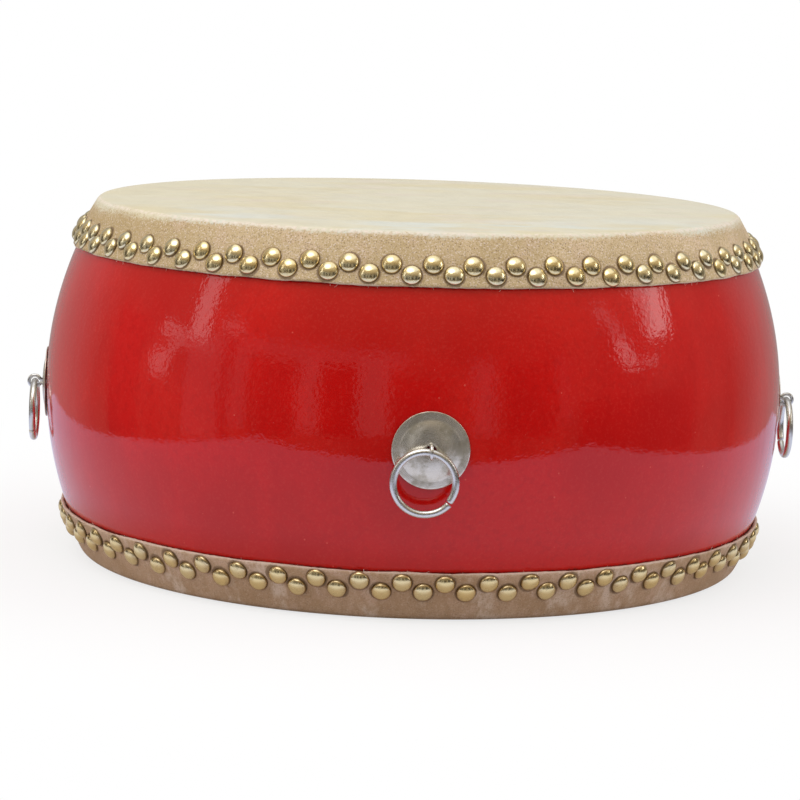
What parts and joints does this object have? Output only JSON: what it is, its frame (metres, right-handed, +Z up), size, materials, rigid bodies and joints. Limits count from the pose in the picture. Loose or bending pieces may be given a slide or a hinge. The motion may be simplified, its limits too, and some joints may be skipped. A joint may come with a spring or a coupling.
{
  "type": "chinese flat drum",
  "caption": "Low barrel drum: a red lacquered shell of glued staves, a nailed hide on each mouth, and steel pull rings that swing in eye pins on its belly.",
  "frame": {"origin": "centre of the lower drum face, on the surface that the drum stands on", "axes": "+Z up along the drum's axis, -Y towards the front pull ring, +X to the right seen from the front"},
  "size_m": [0.5526, 0.5526, 0.2512],
  "materials": {
    "red_lacquered_wood": "clear gloss lacquer over red stain, fine dust nibs and slight orange peel",
    "cowhide": "scraped rawhide, cream and smooth on the face, beige and speckled with hair pores on the skirt",
    "stainless_steel": "polished stainless steel with light handling marks",
    "brass_nail": "polished brass dome, darker round its foot"
  },
  "bodies": {
    "drum": {"top_head": "cowhide", "bottom_head": "cowhide", "stave_01": "red_lacquered_wood", "stave_02": "red_lacquered_wood", "stave_03": "red_lacquered_wood", "stave_04": "red_lacquered_wood", "stave_05": "red_lacquered_wood", "stave_06": "red_lacquered_wood", "stave_07": "red_lacquered_wood", "stave_08": "red_lacquered_wood", "stave_09": "red_lacquered_wood", "stave_10": "red_lacquered_wood", "stave_11": "red_lacquered_wood", "stave_12": "red_lacquered_wood", "stave_13": "red_lacquered_wood", "stave_14": "red_lacquered_wood", "stave_15": "red_lacquered_wood", "stave_16": "red_lacquered_wood", "stave_17": "red_lacquered_wood", "stave_18": "red_lacquered_wood", "stave_19": "red_lacquered_wood", "stave_20": "red_lacquered_wood", "stave_21": "red_lacquered_wood", "stave_22": "red_lacquered_wood", "stave_23": "red_lacquered_wood", "stave_24": "red_lacquered_wood", "stave_25": "red_lacquered_wood", "stave_26": "red_lacquered_wood", "stave_27": "red_lacquered_wood", "stave_28": "red_lacquered_wood", "ring_plate_front": "stainless_steel", "ring_plate_right": "stainless_steel", "ring_plate_back": "stainless_steel", "ring_plate_left": "stainless_steel", "eye_pin_front": "stainless_steel", "eye_pin_right": "stainless_steel", "eye_pin_back": "stainless_steel", "eye_pin_left": "stainless_steel"},
    "front_ring": {"pull_ring_front": "stainless_steel"},
    "right_ring": {"pull_ring_right": "stainless_steel"},
    "back_ring": {"pull_ring_back": "stainless_steel"},
    "left_ring": {"pull_ring_left": "stainless_steel"}
  },
  "joints": [
    {"name": "front_ring_swing", "type": "hinge", "parent": "drum", "child": "front_ring", "pos_m": [0, -0.271, 0.11563], "axis": [-1, 0, 0], "range_deg": [-13.9, 193]},
    {"name": "right_ring_swing", "type": "hinge", "parent": "drum", "child": "right_ring", "pos_m": [0.271, 0, 0.1154], "axis": [0, -1, 0], "range_deg": [-13.9, 193]},
    {"name": "back_ring_swing", "type": "hinge", "parent": "drum", "child": "back_ring", "pos_m": [0, 0.271, 0.1154], "axis": [1, 0, 0], "range_deg": [-13.9, 193]},
    {"name": "left_ring_swing", "type": "hinge", "parent": "drum", "child": "left_ring", "pos_m": [-0.271, 0, 0.1154], "axis": [0, 1, 0], "range_deg": [-13.9, 193]}
  ]
}
